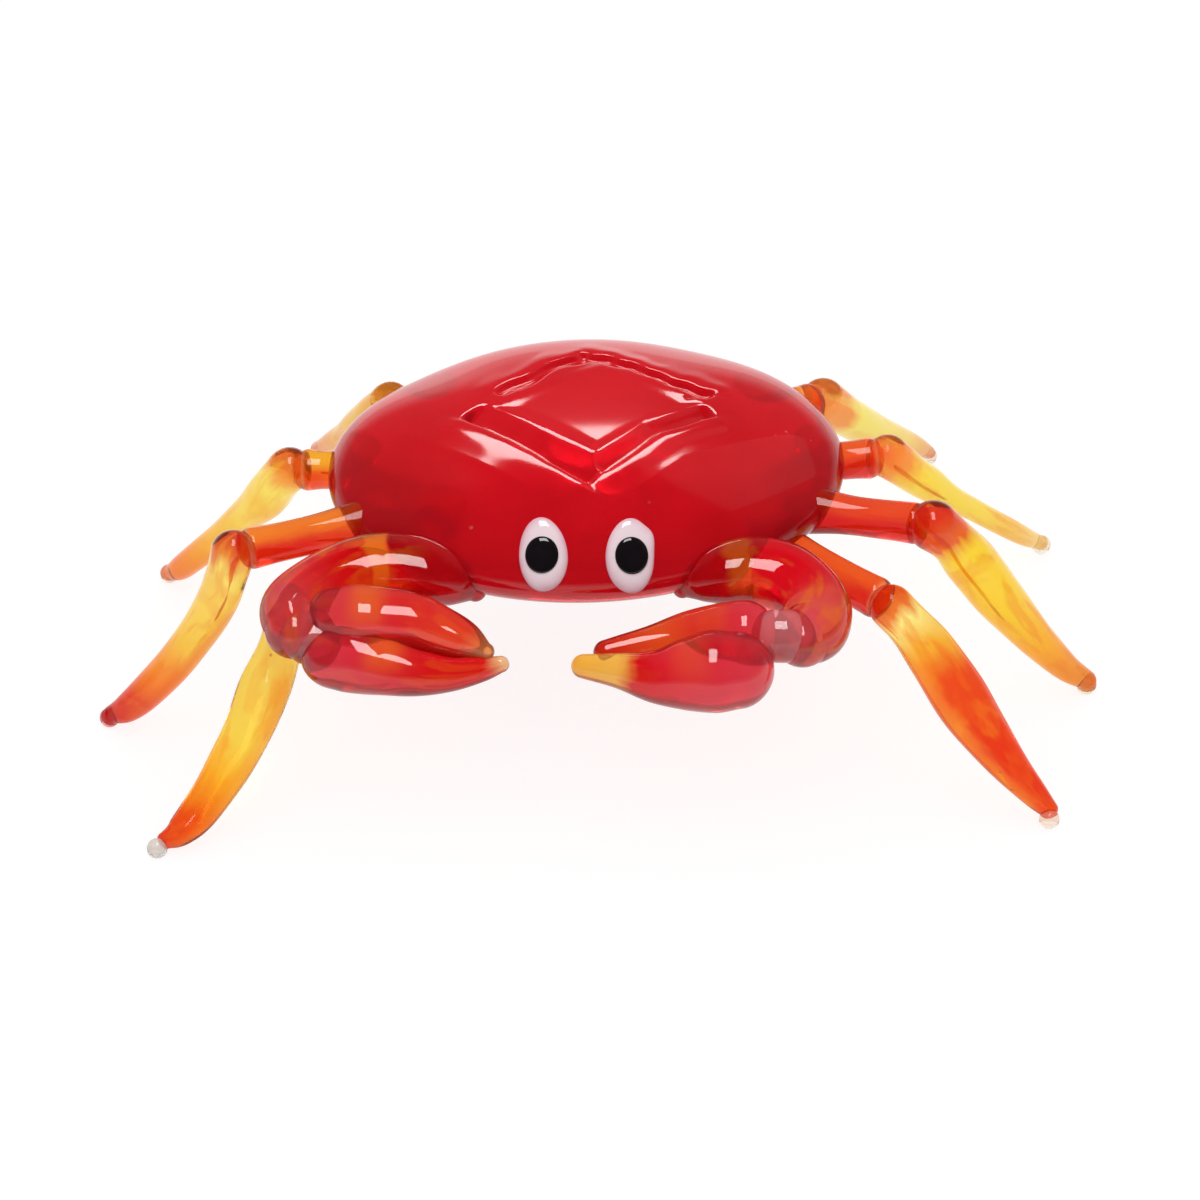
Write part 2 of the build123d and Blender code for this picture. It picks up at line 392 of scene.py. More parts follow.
rows = shell_rows()
on_crown = np.repeat(np.arange(len(rows)) < SHELL_TOP_RINGS, SHELL_SIDES)
matt = ease(inside_plate(rows.reshape(-1, 3)[:, :2]), *MATT_EDGE) * on_crown
matt = np.append(matt, [1, 0])
rows = turned(rows.reshape(-1, 3)).reshape(rows.shape)
top = turned(np.column_stack([[[0, 0]], crown_rise(np.zeros((1, 2)))]))[0]
bottom = turned(np.array([[0, 0, -BELLY_DEPTH]]))[0]
verts, faces = with_poles(rows, top, bottom)

shell_finish, wires = new_finish("shell_red_glass")
cloud = wires.noise(wires.place(), CLOUD_SCALE, 3.0).ease(*CLOUD_EDGE)
shell_red = wires.flat(seen(236, 16, 34)).tint(seen(210, 4, 20), cloud)
shell_bubbles = wires.bubbles(*SHELL_BUBBLES)
shell_red = shell_red.tint(seen(240, 150, 150), shell_bubbles * BUBBLE_STRENGTH)
glass(wires, shell_red, SHELL_CLEARNESS, wires.mark("matt") * PLATE_ROUGHER + SHELL_ROUGHNESS)
glass_piece("shell_gather", "shell", verts, faces, shell_finish, {"matt": matt})


# The eyes are two discs of milky white glass laid on the front slope, each with a dot of black glass on it.
# All were pressed on hot, so their edges are round, and those of the whites are a little uneven.
EYE_PLACES = {"left": (-7.35, -21.75), "right": (2.75, -22.75)}
EYE_LEANS = {"left": math.radians(7.0), "right": math.radians(-10.0)}
WHITE_HALF_WIDTH = 2.8
WHITE_HALF_HEIGHT = 4.6
WHITE_PROUD = 0.85
PUPIL_PLACES = {"left": (-0.1, -0.2), "right": (0.1, -0.1)}
PUPIL_HALF_WIDTH = 1.95
PUPIL_HALF_HEIGHT = 2.25
PUPIL_PROUD = 0.45
PUPIL_SINK = 0.08
EYE_ROOT = 1.2
ROOT_TAPER = 0.12
DOME_POWERS = (2.6, 0.55)
EYE_RINGS = 20
EYE_SIDES = 72
# The white's edge swings in and out twice and three times round, and the right one has a bump: its height,
# bearing and spread
EDGE_SWINGS = (0.025, 0.02)
EDGE_TURNS = {"left": 1.0, "right": 2.2}
BUMP = (0.13, math.radians(32), 0.32)
RIM_UNEVENNESS = 0.35
RIM_EDGE = (0.45, 1.05)
RIM_STRENGTH = 0.8
WHITE_ROUGHNESS = 0.05
BLACK_ROUGHNESS = 0.03


def drop_of_glass(outline, proud, root):
    """A low dome of molten glass, by its outline, how proud it stands and how deep its root goes."""
    found = []
    for k in range(1, EYE_RINGS + 1):
        reach = math.sin(k / EYE_RINGS * math.pi / 2)
        height = proud * (1 - reach ** DOME_POWERS[0]) ** DOME_POWERS[1]
        found.append(np.column_stack([outline * reach, np.full(EYE_SIDES, height)]))
    for share in (0.5, 1.0):
        edge = outline * (1 - ROOT_TAPER * share)
        found.append(np.column_stack([edge, np.full(EYE_SIDES, -root * share)]))
    return with_poles(np.array(found), (0, 0, proud), (0, 0, -root))


def on_shell(side, points):
    """Points from an eye's own plane, set on the front slope of the shell."""
    x, y = EYE_PLACES[side]
    z = crown_rise(np.array([[x, y]]))[0]
    normal = np.array([x / SHELL_HALF_WIDTH ** 2, y / SHELL_HALF_DEPTH ** 2, z / CROWN_HEIGHT ** 2])
    normal /= np.linalg.norm(normal)
    level = np.cross([0, 0, 1], normal)
    level /= np.linalg.norm(level)
    rise = np.cross(normal, level)
    lean = EYE_LEANS[side]
    across = level * math.cos(lean) + rise * math.sin(lean)
    upward = rise * math.cos(lean) - level * math.sin(lean)
    return turned(np.array([x, y, z]) + points @ np.array([across, upward, normal]))


white_finish, wires = new_finish("milk_white_glass")
to_rim = wires.mark("rim") + (wires.noise(wires.place(), 420.0, 2.0) - 0.5) * RIM_UNEVENNESS
milk = wires.flat(seen(236, 214, 220)).tint(seen(214, 140, 158), to_rim.ease(*RIM_EDGE) * RIM_STRENGTH)
glass(wires, milk, 0.0, WHITE_ROUGHNESS)

black_finish, wires = new_finish("black_glass")
ink = wires.flat(seen(14, 10, 12)).tint(seen(24, 18, 22), wires.noise(wires.place(), 500.0))
glass(wires, ink, 0.0, BLACK_ROUGHNESS)

angles = np.linspace(0, 2 * math.pi, EYE_SIDES, endpoint=False)
ellipse = np.stack([np.cos(angles), np.sin(angles)], axis=1)
rim = np.append(np.repeat([*(np.arange(1, EYE_RINGS + 1) / EYE_RINGS), 1, 1], EYE_SIDES), [0, 1])
for side in ("left", "right"):
    uneven = 1 + EDGE_SWINGS[0] * np.cos(2 * angles + 0.6)
    uneven += EDGE_SWINGS[1] * np.cos(3 * angles + EDGE_TURNS[side])
    if side == "right":
        uneven += BUMP[0] * np.exp(-(((angles - BUMP[1]) / BUMP[2]) ** 2))
    outline = ellipse * (WHITE_HALF_WIDTH, WHITE_HALF_HEIGHT) * uneven[:, None]
    verts, faces = drop_of_glass(outline, WHITE_PROUD, EYE_ROOT)
    verts = on_shell(side, verts)
    node = f"eye_white_{side}"
    glass_piece(f"eye_disc_{side}", node, verts, faces, white_finish, {"rim": rim})
    verts, faces = drop_of_glass(ellipse * (PUPIL_HALF_WIDTH, PUPIL_HALF_HEIGHT), PUPIL_PROUD, WHITE_PROUD)
    verts = on_shell(side, verts + (*PUPIL_PLACES[side], WHITE_PROUD - PUPIL_SINK))
    glass_piece(f"eye_dot_{side}", f"eye_pupil_{side}", verts, faces, black_finish)


# The arms are thick red rods, bent while hot and fused to the front flanks of the shell. Threads of orange
# glass run along them under the surface, and a band of it lies across each.
ARM_ROUTES = {
    "left": [
        (-15.0, -19.6, 22.9), (-17.0, -19.5, 23.9), (-19.9, -19.0, 24.8), (-23.3, -18.4, 25.0),
        (-27.9, -18.8, 25.0), (-32.5, -20.9, 24.7), (-36.1, -24.1, 23.7), (-35.9, -26.9, 22.6),
    ],
    "right": [
        (9.4, -19.6, 23.2), (11.2, -19.5, 24.1), (13.9, -19.0, 24.7), (17.6, -18.2, 24.6),
        (21.8, -19.2, 24.1), (24.8, -22.3, 23.2), (24.9, -26.1, 22.4), (23.2, -28.2, 22.3),
    ],
}
ARM_SIZES = {
    "left": [1.4, 2.9, 3.9, 4.3, 4.2, 3.9, 3.8, 3.4],
    "right": [1.2, 2.5, 3.6, 4.2, 4.2, 4.0, 3.9, 3.4],
}
# The band of each arm: its place along the arm and its strength
ARM_BANDS = {"left": (0.43, 0.9), "right": (0.27, 0.5)}
ARM_CLEARNESS = 0.74
ARM_ROUGHNESS = 0.03
ARM_SEEDS = {"left": 11, "right": 12}
BAND_EDGES = (0.03, 0.06)
# How much the wisps of colour turn round a limb, and their scale, then the wisps that show as threads
ARM_WISPS = (1.0, 1.6)
ARM_THREAD = ((0.46, 0.58), (0.60, 0.72))
ARM_THREAD_STRENGTH = 0.35
LIMB_RINGS = 90
LIMB_SIDES = 48
CAP_RINGS = 9
CURVE_STEPS = 40
# What hand work leaves on a limb: waves so many times round it, with a pace along it, a start and a weight
# drawn from these ranges
WAVE_TIMES = (0, 1, 2, 2, 3)
WAVE_PACES = (0.25, 0.8)
WAVE_STARTS = (0, 6.3)
WAVE_WEIGHTS = (0.3, 1.0)
STREAK_PACE = 0.12
STREAK_DETAIL = 3.0
STREAK_BEND = 0.4
# The line from the camera to the crab
SIGHT = np.array([0, 0.799, -0.602])


def smooth_line(points, count):
    """Places along a smooth curve through points, evenly spaced, with any further columns carried along."""
    points = np.array(points, float)
    padded = np.vstack([2 * points[0] - points[1], points, 2 * points[-1] - points[-2]])
    fine = []
    for k in range(1, len(padded) - 2):
        p0, p1, p2, p3 = padded[k - 1:k + 3]
        for u in np.linspace(0, 1, CURVE_STEPS, endpoint=False):
            bend = 2 * p0 - 5 * p1 + 4 * p2 - p3
            twist = 3 * p1 - p0 - 3 * p2 + p3
            fine.append(0.5 * (2 * p1 + (p2 - p0) * u + bend * u ** 2 + twist * u ** 3))
    fine.append(padded[-2])
    fine = np.array(fine)
    steps = np.linalg.norm(np.diff(fine[:, :3], axis=0), axis=1)
    run = np.concatenate([[0], np.cumsum(steps)])
    wanted = np.linspace(0, run[-1], count)
    return np.stack([np.interp(wanted, run, fine[:, c]) for c in range(fine.shape[1])], axis=1), run[-1]


def drawn_limb(route, half_widths, half_heights, rings, seed, unevenness=0.02, end=1.0):
    """A limb of drawn glass with elliptical sections and a hand-worked unevenness. Its marks for the finish
    are along it, lift and side round it, and edge across the line of sight. end is how far the last cap
    stands out, as a share of the half width there."""
    chance = np.random.default_rng(seed)
    line, length = smooth_line(np.column_stack([route, half_widths, half_heights]), rings)
    centres, wide, high = line[:, :3], line[:, 3], line[:, 4]
    direction = np.gradient(centres, axis=0)
    direction /= np.linalg.norm(direction, axis=1)[:, None]
    cap = wide[-1] * end
    start, stop = -wide[0], length + cap
    turns = np.linspace(0, math.pi / 2, CAP_RINGS + 1)[1:-1]
    stations = []
    for turn in turns[::-1]:
        out, inner = wide[0] * math.sin(turn), math.cos(turn)
        place = centres[0] - direction[0] * out
        stations.append((place, direction[0], wide[0] * inner, high[0] * inner, -out))
    stations += zip(centres, direction, wide, high, np.linspace(0, length, rings))
    for turn in turns:
        out, inner = cap * math.sin(turn), math.cos(turn)
        place = centres[-1] + direction[-1] * out
        stations.append((place, direction[-1], wide[-1] * inner, high[-1] * inner, length + out))
    angles = np.linspace(0, 2 * math.pi, LIMB_SIDES, endpoint=False)
    waves = [
        (times, chance.uniform(*WAVE_PACES), chance.uniform(*WAVE_STARTS), chance.uniform(*WAVE_WEIGHTS))
        for times in WAVE_TIMES
    ]
    found, along, edge = [], [], []
    for centre, ahead, half_width, half_height, at in stations:
        across = np.cross(ahead, [0, 0, 1])
        across /= np.linalg.norm(across)
        upward = np.cross(across, ahead)
        swell = np.ones(LIMB_SIDES)
        for times, pace, phase, weight in waves:
            swell += unevenness * weight * np.cos(times * angles + pace * at + phase) / 2
        ring = centre + np.outer(np.cos(angles) * half_width * swell, across)
        ring = ring + np.outer(np.sin(angles) * half_height * swell, upward)
        found.append(ring)
        aside = np.cross(ahead, SIGHT)
        edge += list((ring - centre) @ aside / np.linalg.norm(aside) / max(half_width, 0.01))
        along += [(at - start) / (stop - start)] * LIMB_SIDES
    verts, faces = with_poles(
        np.array(found), centres[0] + direction[0] * start, centres[-1] + direction[-1] * cap)
    marks = {
        "along": along + [0, 1],
        "lift": list(np.sin(angles)) * len(stations) + [0, 0],
        "side": list(np.cos(angles)) * len(stations) + [0, 0],
        "edge": edge + [0, 0],
    }
    return verts, faces, marks, length


def streaks(wires, length, around, scale, seed):
    """Noise drawn out along a limb, as colour is when hot glass is pulled."""
    along, lift, side = (wires.mark(name) for name in ("along", "lift", "side"))
    drawn = along * (length * STREAK_PACE) + seed
    vector = wires.put("CombineXYZ", None, {"X": drawn, "Y": lift * around, "Z": side * around})
    return wires.noise(vector, scale, STREAK_DETAIL, STREAK_BEND)


def arm_finish(side, length):
    material, wires = new_finish(f"arm_red_glass_{side}")
    band, strength = ARM_BANDS[side]
    wisp = streaks(wires, length, *ARM_WISPS, ARM_SEEDS[side])
    along = wires.mark("along")
    red = wires.flat(seen(228, 14, 30)).tint(seen(226, 96, 104), along.ease(0.55, 0.85))
    red = red.tint(seen(214, 8, 24), wisp.ease(0.35, 0.7) * 0.7)
    along = along + (wisp - 0.5) * 0.10
    inner, outer = BAND_EDGES
    ring = along.between((band - outer, band - inner), (band + inner, band + outer))
    ring = ring * wires.mark("lift").ease(-0.6, 0.3) * strength
    thread = wisp.between(*ARM_THREAD) * along.ease(0.22, 0.34) * ARM_THREAD_STRENGTH
    glass(wires, red.tint(seen(252, 160, 40), ring.most(thread)), ARM_CLEARNESS, ARM_ROUGHNESS)
    return material


for side, seed in ARM_SEEDS.items():
    size = ARM_SIZES[side]
    verts, faces, marks, length = drawn_limb(ARM_ROUTES[side], size, size, LIMB_RINGS, seed)
    finish = arm_finish(side, length)
    glass_piece(f"arm_{side}", f"claw_arm_{side}", verts, faces, finish, marks)


# Each claw is two gathers pressed on to a collar at the wrist: a front lobe and a rear lobe. Both are pulled
# out to a finger, and the front ones end in paler glass.
COLLAR_PLACES = {"left": (-33.4, -27.4, 21.6), "right": (20.7, -28.6, 23.0)}
COLLAR_RADIUS = 3.1
COLLAR_HALF_LENGTH = 0.6
COLLAR_RINGS = 12
FINGER_ROUTES = {
    "lower_left": [
        (-31.3, -29.2, 20.5), (-29.1, -29.6, 20.4), (-25.8, -30.4, 20.1), (-21.7, -31.4, 19.9),
        (-17.7, -31.5, 19.7), (-14.0, -31.0, 20.0), (-11.8, -30.6, 20.4),
    ],
    "lower_right": [
        (15.4, -32.2, 20.8), (12.6, -32.6, 20.8), (9.4, -32.7, 20.5), (6.0, -32.6, 20.2),
        (2.0, -32.0, 20.5), (-2.2, -31.2, 20.6),
    ],
    "upper_left": [
        (-31.1, -26.0, 23.9), (-28.6, -26.4, 24.0), (-25.4, -26.4, 24.1), (-22.1, -26.8, 24.0),
        (-18.9, -27.6, 23.1), (-15.8, -28.8, 22.5), (-13.5, -29.9, 21.8),
    ],
    "upper_right": [
        (16.4, -27.6, 22.5), (13.4, -27.2, 22.1), (10.1, -26.9, 21.6), (5.5, -28.0, 21.3),
        (0.4, -29.4, 21.2),
    ],
}
FINGER_SIZES = {
    "lower_left": [3.8, 3.9, 3.6, 2.85, 2.1, 1.5, 1.0],
    "lower_right": [4.5, 4.85, 4.2, 3.1, 2.1, 1.45],
    "upper_left": [3.4, 3.95, 3.6, 3.2, 2.85, 2.2, 1.0],
    "upper_right": [3.9, 3.7, 3.1, 2.2, 1.5],
}
FINGER_SEEDS = {"lower_left": 21, "upper_left": 24, "lower_right": 22, "upper_right": 25}
COLLAR_SEEDS = {"left": 29, "right": 30}
PALM = seen(230, 70, 84)
DEEP = seen(222, 10, 26)
FINGER_COLOURS = {
    "lower_left": [
        (0, PALM), (0.35, seen(228, 44, 58)), (0.62, DEEP), (0.88, seen(226, 26, 28)),
        (0.96, seen(250, 200, 140)), (1, seen(252, 230, 190)),
    ],
    "lower_right": [
        (0, PALM), (0.45, seen(230, 40, 56)), (0.68, DEEP), (0.76, seen(255, 206, 90)),
        (1, seen(255, 196, 70)),
    ],
    "upper_left": [
        (0, PALM), (0.24, seen(230, 62, 66)), (0.50, seen(228, 40, 46)), (0.84, seen(236, 64, 44)),
        (1, seen(250, 190, 110)),
    ],
    "upper_right": [
        (0, PALM), (0.35, seen(228, 36, 44)), (0.62, seen(240, 90, 36)), (0.85, seen(222, 50, 30)),
        (1, seen(200, 30, 20)),
    ],
}
# The orange streak on each lobe: its place along the lobe, and its strength in each claw
STREAK_PLACES = {"lower": 0.42, "upper": 0.34}
STREAK_SHARES = {"left": 0.6, "right": 0.25}
STREAK_SEEDS = {"left": 21, "right": 22}
FINGER_WISPS = (1.0, 1.5)
FINGER_THREAD = ((0.50, 0.60), (0.66, 0.78))
FINGER_THREAD_STRENGTH = 0.25


def finger_finish(which, side, length):
    key = f"{which}_{side}"
    material, wires = new_finish(f"claw_{which}_glass_{side}")
    place, strength = STREAK_PLACES[which], STREAK_SHARES[side]
    wisp = streaks(wires, length, *FINGER_WISPS, STREAK_SEEDS[side])
    along = wires.mark("along")
    colour = wires.put("ValToRGB", {"stops": FINGER_COLOURS[key]}, {"Fac": along + (wisp - 0.5) * 0.16})
    # Painted shade: past the lobe, each finger's underside is tinted darker orange-red, standing in for the
    # shade that falls between the fingers
    painted_under_shade = (1 - wires.mark("lift").ease(-0.9, 0.1)) * along.ease(0.3, 0.6) * 0.4
    colour = colour.tint(seen(226, 40, 20), painted_under_shade)
    near = along.between((place - 0.14, place - 0.04), (place, place + 0.12))
    near = near * wires.mark("lift").ease(0.1, 0.9) * strength
    thread = wisp.between(*FINGER_THREAD) * strength * FINGER_THREAD_STRENGTH
    glass(wires, colour.tint(seen(255, 140, 30), near.most(thread)), ARM_CLEARNESS)
    return material


collar_finish, wires = new_finish("collar_red_glass")
collar_swirl = wires.noise(wires.place(), 160.0).ease(0.55, 0.85)
glass(wires, wires.flat(seen(252, 160, 166)).tint(DEEP, collar_swirl), ARM_CLEARNESS, ARM_ROUGHNESS)
for side, place in COLLAR_PLACES.items():
    for which in ("lower", "upper"):
        key = f"{which}_{side}"
        route, size, seed = FINGER_ROUTES[key], FINGER_SIZES[key], FINGER_SEEDS[key]
        verts, faces, marks, length = drawn_limb(route, size, size, LIMB_RINGS, seed)
        finish = finger_finish(which, side, length)
        node = f"claw_{which}_finger_{side}"
        glass_piece(f"finger_{which}_{side}", node, verts, faces, finish, marks)
    route = [np.array(place) + (step * COLLAR_HALF_LENGTH, 0, 0) for step in (-1, 0, 1)]
    size = [COLLAR_RADIUS] * 3
    verts, faces, marks, length = drawn_limb(route, size, size, COLLAR_RINGS, COLLAR_SEEDS[side])
    glass_piece(f"collar_{side}", f"wrist_collar_{side}", verts, faces, collar_finish, marks)


# Each leg starts as a straight rod of orange glass from the shell to the knee: paler along its upper half
# and redder below. It widens a little where it is fused on at both ends.
KNEE_RADIUS = 2.8
KNEES = {
    "left_rear": 0.95, "left_mid_rear": 1.00, "left_mid_front": 0.95, "left_front": 0.95,
    "right_rear": 1.00, "right_mid_rear": 0.95, "right_mid_front": 1.12, "right_front": 0.95,
}
FOOT_LIFT = 0.33
FOOT_SHIFTS = {"left_front": (0.3, 0), "right_front": (0.15, 0.2), "right_mid_rear": (0.1, 0.4)}
ROD_RADIUS = 2.35
ROD_SPREAD = 0.8
# The rod's shape from shell to knee: the share of the way, and the share of its spread there
ROD_SHAPE = [(0, 1.0), (0.12, 0.7), (0.3, 0.25), (0.5, 0.0), (0.75, 0.0), (0.9, 0.1), (1.0, 0.2)]
ROD_ROOT = 1.0
ROD_STOP = 0.85
ROD_SINKS = {"right_front": 1.1}
ROD_INNER = 1.8
ROD_RINGS = 60
ROD_UNEVENNESS = 0.025
ROD_CAP = 0.8
ROD_CLEARNESS = 0.88
ROD_WISPS = (1.2, 1.8)
LEG_IOR = 1.36
# The colours of each rod along its upper and lower half
ROD_COLOURS = {
    "left_rear": (seen(252, 180, 50), seen(236, 110, 40)),
    "left_mid_rear": (seen(252, 180, 50), seen(244, 80, 34)),
    "left_mid_front": (seen(250, 136, 48), seen(230, 46, 38)),
    "left_front": (seen(250, 130, 40), seen(238, 70, 40)),
    "right_rear": (seen(255, 150, 70), seen(248, 96, 60)),
    "right_mid_rear": (seen(244, 100, 44), seen(228, 44, 40)),
    "right_mid_front": (seen(240, 84, 44), seen(222, 40, 42)),
    "right_front": (seen(246, 98, 36), seen(222, 38, 34)),
}


def node_points(node):
    mesh = frame["nodes"][node].data
    points = np.zeros(len(mesh.vertices) * 3)
    mesh.vertices.foreach_get("co", points)
    return points.reshape(-1, 3) / MM


def foot_of(leg):
    """Where the lowest glass of a leg's blade ends, on its foot dab."""
    low, high = (np.array(corner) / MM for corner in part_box(f"foot_dab_{leg}"))
    aside, back = FOOT_SHIFTS.get(leg, (0, 0))
    return np.array([(low[0] + high[0]) / 2 + aside, (low[1] + high[1]) / 2 + back, FOOT_LIFT])


def knee_of(leg):
    """Middle of the knee: one knee radius in from the blade's point that lies farthest from the foot."""
    points = node_points(f"leg_blade_{leg}")
    offset = points - foot_of(leg)
    reach = np.linalg.norm(offset, axis=1)
    far = reach.argmax()
    return points[far] - offset[far] / reach[far] * KNEE_RADIUS * KNEES[leg]


def rod_finish(leg, length, seed):
    material, wires = new_finish(f"rod_glass_{leg}")
    upper, lower = ROD_COLOURS[leg]
    wisp = streaks(wires, length, *ROD_WISPS, seed)
    along = wires.mark("along")
    over = wires.mark("edge") * (-1 if leg.startswith("left") else 1)
    colour = wires.flat(lower).tint(upper, (over + (wisp - 0.5) * 0.9).ease(-0.35, 0.40))
    colour = colour.tint(seen(214, 30, 30), (1 - along.ease(0.12, 0.42)) * 0.6)
    inner = 1 - ROD_INNER / (length + 2 * ROD_RADIUS)
    colour = colour.tint(seen(255, 206, 160), along.ease(inner, inner + 0.04) * 0.85)
    glass(wires, colour, ROD_CLEARNESS, ior=LEG_IOR)
    return material


for seed, leg in enumerate(KNEES, 31):
    knee = knee_of(leg)
    rod = node_points(f"leg_rod_{leg}")
    axis = knee - rod.mean(axis=0)
    axis /= np.linalg.norm(axis)
    root = knee - axis * (np.linalg.norm(rod - knee, axis=1).max() + ROD_ROOT)
    stop = knee - axis * KNEE_RADIUS * ROD_STOP
    sink = np.array([0, 0, ROD_SINKS.get(leg, 0)])
    route = [root + (stop - root) * share - sink * (1 - share) for share, _ in ROD_SHAPE]
    size = [ROD_RADIUS + ROD_SPREAD * share for _, share in ROD_SHAPE]
    verts, faces, marks, length = drawn_limb(route, size, size, ROD_RINGS, seed, ROD_UNEVENNESS, ROD_CAP)
    finish = rod_finish(leg, length, seed)
    glass_piece(f"rod_{leg}", f"leg_rod_{leg}", verts, faces, finish, marks)


# The lower leg was heated again, pressed to a round knee and pulled out: a bowed blade, yellow to orange,
# that thins to the foot. Threads of deeper glass are drawn out inside it, with small dark bubbles.
BLADE_RINGS = 110
BLADE_THICKNESS = 0.88
BLADE_CLEAR_OF_FLOOR = 0.02
BLADE_BUBBLES = (330.0, (0.05, 0.11), 120.0, (0.50, 0.58))
BLADE_WISPS = (1.0, 1.3)
BLADE_THREAD = ((0.50, 0.58), (0.62, 0.74))
BLADE_END = 0.975
FRONT_BLADE_ENDS = {"left_front": 0.955, "right_front": 0.965}
FRONT_BLADE_CAP = 0.8
# Each blade, at places from knee to foot: the share of the way, how far it stands beside the straight line,
# and half its width
BLADES = {
    "left_rear": [
        (0, 0, 2.66), (0.16, 0.1, 2.85), (0.34, 0, 2.60), (0.58, 0, 1.95), (0.80, -0.3, 1.50),
        (1, -0.5, 1.1),
    ],
    "left_mid_rear": [
        (0, 0, 2.80), (0.10, 0.2, 3.0), (0.22, 0.6, 3.05), (0.36, 0.6, 2.55), (0.58, 0.5, 2.10),
        (0.80, 0.3, 1.95), (0.91, 0.1, 1.75), (1, -0.4, 1.15),
    ],
    "left_mid_front": [
        (0, 0, 2.66), (0.10, 0.9, 2.75), (0.22, 1.85, 2.80), (0.40, 2.25, 2.65), (0.58, 2.15, 2.55),
        (0.76, 1.6, 2.40), (0.89, 0.8, 2.0), (1, 0, 1.30),
    ],
    "left_front": [
        (0, 2.2, 2.60), (0.12, 2.8, 2.70), (0.26, 3.15, 3.15), (0.43, 3.5, 3.0), (0.63, 3.2, 2.70),
        (0.80, 2.4, 2.35), (0.91, 1.6, 1.85), (1, 0.3, 1.15),
    ],
    "right_rear": [
        (0, 0, 2.80), (0.16, -0.3, 3.0), (0.34, -0.3, 2.85), (0.52, -0.1, 2.45), (0.70, 0.4, 1.95),
        (0.86, 0.8, 1.45), (1, 0.9, 1.0),
    ],
    "right_mid_rear": [
        (0, 0, 2.66), (0.12, -0.2, 2.75), (0.25, -0.35, 2.5), (0.38, -0.45, 2.0), (0.56, -0.25, 1.6),
        (0.78, 0, 1.55), (0.90, 0.2, 1.33), (1, 0.5, 1.00),
    ],
    "right_mid_front": [
        (0, 0, 3.14), (0.10, 0.4, 3.15), (0.22, 0.3, 3.55), (0.38, -0.05, 3.5), (0.54, -0.3, 3.0),
        (0.70, -0.35, 2.5), (0.86, -0.1, 1.95), (1, 0.55, 1.40),
    ],
    "right_front": [
        (0, 0, 2.66), (0.10, 0.4, 2.85), (0.22, 0.6, 3.3), (0.40, 0.3, 3.55), (0.56, 0.1, 3.2),
        (0.74, 0.2, 2.45), (0.88, 0.55, 1.75), (1, 0.9, 1.15),
    ],
}
# Each blade's colours from knee to foot
BLADE_COLOURS = {
    "left_rear": [
        (0, seen(244, 170, 70)), (0.25, seen(246, 190, 40)), (0.55, seen(252, 210, 90)),
        (0.85, seen(250, 176, 110)), (1, seen(244, 146, 100)),
    ],
    "left_mid_rear": [
        (0, seen(240, 80, 40)), (0.06, seen(246, 130, 50)), (0.14, seen(255, 232, 104)),
        (0.50, seen(254, 214, 78)), (0.72, seen(252, 170, 44)), (0.90, seen(248, 124, 50)),
        (1, seen(246, 150, 96)),
    ],
    "left_mid_front": [
        (0, seen(210, 44, 34)), (0.08, seen(230, 90, 30)), (0.15, seen(255, 230, 110)),
        (0.48, seen(252, 204, 70)), (0.70, seen(250, 130, 34)), (0.86, seen(226, 44, 24)),
        (1, seen(200, 20, 20)),
    ],
    "left_front": [
        (0, seen(236, 170, 50)), (0.12, seen(248, 218, 104)), (0.52, seen(250, 216, 84)),
        (0.70, seen(252, 176, 40)), (0.84, seen(238, 84, 24)), (1, seen(228, 60, 34)),
    ],
    "right_rear": [
        (0, seen(255, 120, 70)), (0.14, seen(252, 120, 60)), (0.24, seen(255, 240, 124)),
        (0.66, seen(254, 230, 124)), (0.88, seen(250, 196, 120)), (1, seen(246, 170, 130)),
    ],
    "right_mid_rear": [
        (0, seen(252, 110, 60)), (0.10, seen(250, 120, 60)), (0.20, seen(255, 226, 76)),
        (0.60, seen(254, 224, 90)), (0.80, seen(252, 204, 100)), (1, seen(254, 224, 160)),
    ],
    "right_mid_front": [
        (0, seen(232, 60, 40)), (0.13, seen(222, 50, 30)), (0.21, seen(255, 220, 70)),
        (0.50, seen(254, 212, 44)), (0.76, seen(252, 170, 40)), (1, seen(236, 130, 50)),
    ],
    "right_front": [
        (0, seen(226, 70, 30)), (0.08, seen(236, 100, 34)), (0.14, seen(255, 240, 140)),
        (0.26, seen(250, 186, 60)), (0.38, seen(240, 84, 36)), (0.80, seen(236, 54, 30)),
        (1, seen(236, 80, 40)),
    ],
}
# Each blade: the colour and strength of its threads, the colour and strength of the streak along one edge,
# its clearness and its index of refraction. The streak is on the edge towards the crab's middle.
BLADE_STREAKS = {
    "left_rear": (seen(240, 130, 60), 0.35, seen(244, 130, 70), 0.5, 0.8, 1.2),
    "left_mid_rear": (seen(250, 170, 40), 0.45, seen(248, 140, 40), 0.5, 0.9, LEG_IOR),
    "left_mid_front": (seen(240, 130, 50), 0.4, seen(236, 90, 20), 0.7, 0.9, LEG_IOR),
    "left_front": (seen(250, 150, 44), 0.4, seen(246, 140, 30), 0.6, 0.9, 1.25),
    "right_rear": (seen(252, 190, 90), 0.4, seen(250, 170, 110), 0.4, 0.8, 1.2),
    "right_mid_rear": (seen(250, 160, 60), 0.5, seen(250, 170, 60), 0.5, 0.85, 1.22),
    "right_mid_front": (seen(244, 130, 40), 0.6, seen(250, 160, 30), 0.6, 0.9, LEG_IOR),
    "right_front": (seen(248, 130, 40), 0.5, seen(252, 160, 44), 0.85, 0.9, 1.25),
}


